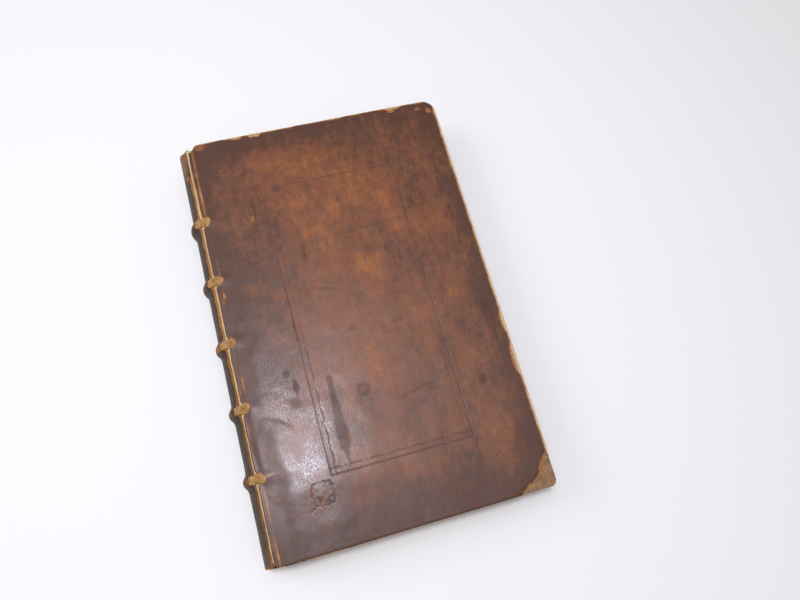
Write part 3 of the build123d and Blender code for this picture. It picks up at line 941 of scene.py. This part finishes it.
def gatherings(z, seed):
    """How far the leaves' cut edges lie back from the tidiest ones, at a height."""
    count = z / GATHERING + 0.3 * np.sin(z / 5)
    offsets = np.random.default_rng(seed).uniform(0, 0.34, 64)
    leaf = np.random.default_rng(seed + 1).uniform(0, 0.16, 512)
    edge = abs(count % 1 - 0.5) * 2
    nearest_leaf = leaf[np.round(z / LEAF).astype(int) % 512]
    return offsets[np.floor(count).astype(int) % 64] + nearest_leaf + 0.3 * smooth(0.72, 1, edge)


def fore_edge_x(z):
    """Where the fore-edge lies, on its hollow."""
    return PAGE_FORE - FORE_HOLLOW + FORE_RADIUS - np.sqrt(FORE_RADIUS**2 - (z - MID_Z) ** 2)


def page_back_x(z):
    """Where the folded backs of the leaves lie, on the round of the spine."""
    return SPINE_CENTRE_X - np.sqrt(PAGE_RADIUS**2 - (z - MID_Z) ** 2)


def build_pages():
    """The sewn leaves: cut edges at head, tail and hollow fore-edge, and shoulders notched for the cords."""
    levels = np.linspace(2 * MID_Z - PAGE_TOP, PAGE_TOP, 235)
    shoulder_x = np.linspace(PAGE_ROOT, page_back_x(SHOULDER_Z), 6)
    shoulder_z = np.linspace(PAGE_TOP, SHOULDER_Z, 6)
    ends = (
        (levels, fore_edge_x(levels)),
        (shoulder_z, shoulder_x),
        (2 * MID_Z - shoulder_z[::-1], shoulder_x[::-1]),
    )
    parts = []
    across = np.r_[np.linspace(0, 0.1, 8), np.linspace(0.1, 1, 26)[1:]]
    for (side, seed), (end_z, right) in itertools.product(((1, 501), (-1, 511)), ends):
        left = page_back_x(end_z)
        x = left[:, None] + (right - left)[:, None] * across[None, :]
        z = np.broadcast_to(end_z[:, None], x.shape)
        back = gatherings(z, seed) + 0.08 * rough(x, z, 30, seed + 5, 3) ** 2
        rim = smooth(0, 0.02, across) * fall(0.98, 1, across)
        y = side * (PAGE_HALF - back * rim[None, :])
        parts.append(((x, y, z), 1, side > 0))
    rows = steps([(-PAGE_HALF, PAGE_HALF, 2.6)])
    y = np.broadcast_to(rows[None, :], (len(levels), len(rows)))
    z = np.broadcast_to(levels[:, None], y.shape)
    rim = smooth(0, 1, PAGE_HALF - abs(y)) * smooth(0, 0.4, PAGE_TOP - MID_Z - abs(z - MID_Z))
    x = fore_edge_x(z) - rim * (gatherings(z, 521) + 0.1 * abs(rough(y, z * 8, 40, 525, 3)))
    parts.append(((x, y, z), 1, True))
    notch_sides = np.array([-1.001, -0.999, 0.999, 1.001]) * NOTCH_HALF
    rows = np.sort(np.r_[rows, (BANDS_Y[:, None] + notch_sides).ravel()])
    in_notch = from_cord(HEAD_Y - rows) < NOTCH_HALF
    flat = np.linspace(PAGE_FORE, PAGE_ROOT, 40)
    for side in (1, -1):
        line_x = np.r_[flat, shoulder_x[1:]]
        line_z = np.r_[np.full(len(flat), PAGE_TOP), shoulder_z[1:]]
        x, y = np.meshgrid(line_x, rows, indexing="xy")
        z = np.where(in_notch[:, None], np.minimum(line_z, NOTCH_FLOOR), line_z[None, :])
        parts.append(((x, y, MID_Z + side * (z - MID_Z)), 0, side > 0))
    spine_z = np.linspace(2 * MID_Z - SHOULDER_Z, SHOULDER_Z, 60)
    y, z = np.meshgrid(rows, spine_z, indexing="ij")
    limit = np.where(in_notch, NOTCH_FLOOR, SHOULDER_Z)[:, None] - MID_Z
    parts.append(((page_back_x(z), y, MID_Z + np.clip(z - MID_Z, -limit, limit)), 0, False))
    points, quads, cut = joined(parts)
    return mesh_object("pages", points, quads, {"cut": cut})


place(build_pages(), "text_block", "pages", page_edges, "text_block")

# --- endbands

THREAD_PITCH = 0.62


def build_endband(node):
    """Thread wound closely over a core, bent round the spine's end."""
    low, high = corners(node)
    middle_y, core = (low[1] + high[1]) / 2, (high[1] - low[1]) / 2
    bend = SPINE_CENTRE_X - low[0] - core
    half_angle = math.asin(min(1, (high[2] - MID_Z - 0.3 * core) / (bend + 0.3 * core)))
    along = np.linspace(-half_angle, half_angle, 420)
    a, t = np.meshgrid(along, np.linspace(0, 2 * np.pi, 17), indexing="ij")
    ridge = abs(np.sin(np.pi * (a * bend / THREAD_PITCH + t / (2 * np.pi))))
    closed = np.sqrt(np.clip(1 - (abs(a) / half_angle) ** 40, 0, 1))
    radius = core * (0.86 + 0.13 * ridge) * closed
    out = bend + radius * np.cos(t)
    xyz = (SPINE_CENTRE_X - out * np.cos(a), middle_y + radius * np.sin(t), MID_Z + out * np.sin(a))
    name = node.replace("endband", "wound_endband")
    return grid_object(name, xyz, masks={"groove": 1 - ridge}, flip=True)


for node in ("head_endband", "tail_endband"):
    place(build_endband(node), "text_block", "endband", endband_thread, node)

# --- the board laid bare at the worn corner

BARE_FROM_U, BARE_FROM_V = 166, 292  # where the bare strip starts along the tail and the fore-edge
UNDER_LEATHER = 1.65  # how far it runs on beneath the leather, in u and in v


def build_bare_corner():
    """Frayed, layered pasteboard where the front leather is worn off, over the board and round its edge."""
    radius = CORNER_RADII["tail_fore"] - LEATHER
    right, bottom = WIDTH - LEATHER, HEIGHT - LEATHER
    quarter = np.linspace(0, np.pi / 2, 40)[1:]
    centre_u, centre_v = right - radius, bottom - radius
    round_u, round_v = centre_u + radius * np.cos(quarter), centre_v + radius * np.sin(quarter)
    outer_u = np.r_[np.full(70, right), round_u, np.linspace(centre_u, BARE_FROM_U, 70)[1:]]
    outer_v = np.r_[np.linspace(BARE_FROM_V, centre_v, 70), round_v, np.full(69, bottom)]
    along = np.r_[[0], np.cumsum(np.hypot(np.diff(outer_u), np.diff(outer_v)))]
    boundary = np.array(WORN_CORNER[::-1])
    run = np.r_[[0], np.cumsum(np.hypot(*np.diff(boundary, axis=0).T))]
    share = along / along[-1] * run[-1]
    inner_u = np.minimum(np.interp(share, run, boundary[:, 0]) - UNDER_LEATHER, outer_u - 0.3)
    inner_v = np.minimum(np.interp(share, run, boundary[:, 1]) - UNDER_LEATHER, outer_v - 0.3)
    t = np.linspace(0, 1, 26)[:, None]
    top_u, top_v = inner_u + (outer_u - inner_u) * t, inner_v + (outer_v - inner_v) * t
    from_edge = np.hypot(outer_u - top_u, outer_v - top_v)
    layers = np.round((rough(top_u, top_v, 9, 601, 4) + 1) * 2.2) / 4.4 * 0.42
    lift = layers + 0.1 * rough(top_u, top_v, 1.6, 605, 3) - 0.02
    lift = np.clip(lift, 0.04, 0.6) - 0.5 * bell(from_edge, 0.9)
    lift = np.where(corner_side(top_u, top_v) > 0.4, 0.03, np.minimum(lift, 0.55))
    top_z = -LEATHER + np.maximum(lift, -0.4 * (from_edge < 1) + 0.03)
    depth = np.linspace(0, 1, 16)[1:, None]
    wall_z = top_z[-1] + (-COVER_DEPTH + 0.5 - top_z[-1]) * depth
    leaf = abs(rough(along[None, :] * 0.25, wall_z * 4, 3, 611, 3))
    proud = 0.08 + 0.55 * leaf * np.sin(np.pi * np.clip(depth, 0.02, 0.98)) ** 0.5
    normal_u, normal_v = np.gradient(outer_v, along), -np.gradient(outer_u, along)
    wall_u, wall_v = outer_u + normal_u * proud, outer_v + normal_v * proud
    u, v = np.r_[top_u, wall_u], np.r_[top_v, wall_v]
    return grid_object("bare_corner", (JOINT_X + u, HEAD_Y - v, TOP_Z + np.r_[top_z, wall_z]), flip=True)


place(build_bare_corner(), "front_cover", "board", pasteboard)

# --- cords bare in the front joint

CORD_REACH_IN, CORD_REACH_OUT = -9, 2.4  # u of a bare cord's two ends


def build_joint_cord(index, middle_y):
    """A frayed twist of cord, bare where the joint leather has gone."""
    t, a = np.meshgrid(np.linspace(0, 1, 60), np.linspace(0, 2 * np.pi, 41), indexing="ij")
    u = CORD_REACH_IN + (CORD_REACH_OUT - CORD_REACH_IN) * t
    twist = a + 0.9 * np.sin(t * 5 + index)
    fibres = abs(np.sin(7 * twist + 3 * rough(t * 12 + np.cos(a), np.sin(a), 2, 220 + index, 2)))
    belly = np.sqrt(np.clip(np.sin(np.pi * t), 0, 1))
    ragged = rough(u + 40 * index + 1.5 * np.cos(a), 1.5 * np.sin(a), 1.8, 200 + index, 4)
    closed = (t > 0) & (t < 1)
    half_width = 0.1 + (1.9 + 1.1 * smooth(0.35, 0.8, t)) * belly
    half_width = closed * half_width * (1 + 0.06 * fibres + 0.35 * ragged)
    half_height = closed * (0.05 + 0.75 * belly) * (1 + 0.12 * fibres + 0.25 * ragged)
    crest = TOP_Z - 1.2 - 2.2 * smooth(HINGE_U + 0.5, CORD_REACH_IN, u) - 0.35 * smooth(0, CORD_REACH_OUT, u)
    y = middle_y + half_width * np.cos(a) + 0.35 * np.sin(t * 6 + 2 * index)
    xyz = (JOINT_X + u, y, crest + half_height * np.sin(a))
    cord = grid_object(f"joint_cord_{index}", xyz, masks={"groove": 0.9 - 1.4 * fibres}, flip=True)
    cord.data.materials.append(hemp)
    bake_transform(cord)


for i, middle_y in enumerate(BANDS_Y, 1):
    build_joint_cord(i, middle_y)

# --- stage

FLOOR_METRES = 6
LAMPS = [  # name, place and width in millimetres, watts, tint
    ("overhead", (-138, -10, 1240), 150, 6.4, (0.86, 0.88, 1)),
    ("diffuser", (-60, 10, 1240), 800, 2.5, (0.88, 0.88, 1)),
    ("skylight", (-200, 160, 1240), 420, 1.3, (0.9, 0.9, 1)),
    ("window", (-1500, 600, 1400), 1200, 9, (0.96, 0.98, 1)),
]
CAMERA_PLACE = (-47.9, -135.3, 520.6)
CAMERA_AIM = (34.46, -1.95, 40)
CAMERA_ROLL = 16.86  # degrees
CAMERA_LENS = 29.88


def build_stage():
    """A pale floor, soft light from all round and overhead, and the camera."""
    scene = bpy.context.scene
    bpy.ops.mesh.primitive_plane_add(size=FLOOR_METRES, location=(0, 0, 0))
    floor = bpy.context.active_object
    floor.name = "floor"
    n = Nodes("floor")
    floor.data.materials.append(n.finish(colour(250, 250, 248), 0.9, Specular_IOR_Level=0.1))

    world = bpy.data.worlds.new("soft_room")
    scene.world = world
    world.use_nodes = True
    background = world.node_tree.nodes["Background"].inputs
    background["Color"].default_value = (1, 0.96, 0.93, 1)
    background["Strength"].default_value = 0.34

    for name, place_mm, size_mm, watts, tint in LAMPS:
        lamp = bpy.data.lights.new(name, "AREA")
        lamp.shape = "DISK"
        lamp.size = size_mm * MM
        lamp.energy = watts
        lamp.color = tint
        holder = add_object(name, lamp)
        holder.location = [c * MM for c in place_mm]
        holder.rotation_euler = (-holder.location).to_track_quat("-Z", "Y").to_euler()

    camera = add_object("camera", bpy.data.cameras.new("camera"))
    camera.data.sensor_width = 36
    camera.data.lens = CAMERA_LENS
    camera.data.clip_start = 0.01
    camera.location = [c * MM for c in CAMERA_PLACE]
    aim = type(camera.location)([c * MM for c in CAMERA_AIM]) - camera.location
    facing = aim.to_track_quat("-Z", "Y").to_matrix()
    twist = type(facing).Rotation(math.radians(CAMERA_ROLL), 3, "Z")
    camera.rotation_euler = (facing @ twist).to_euler()
    scene.camera = camera
    scene.view_settings.view_transform = "Standard"
    scene.view_settings.look = "None"


build_stage()
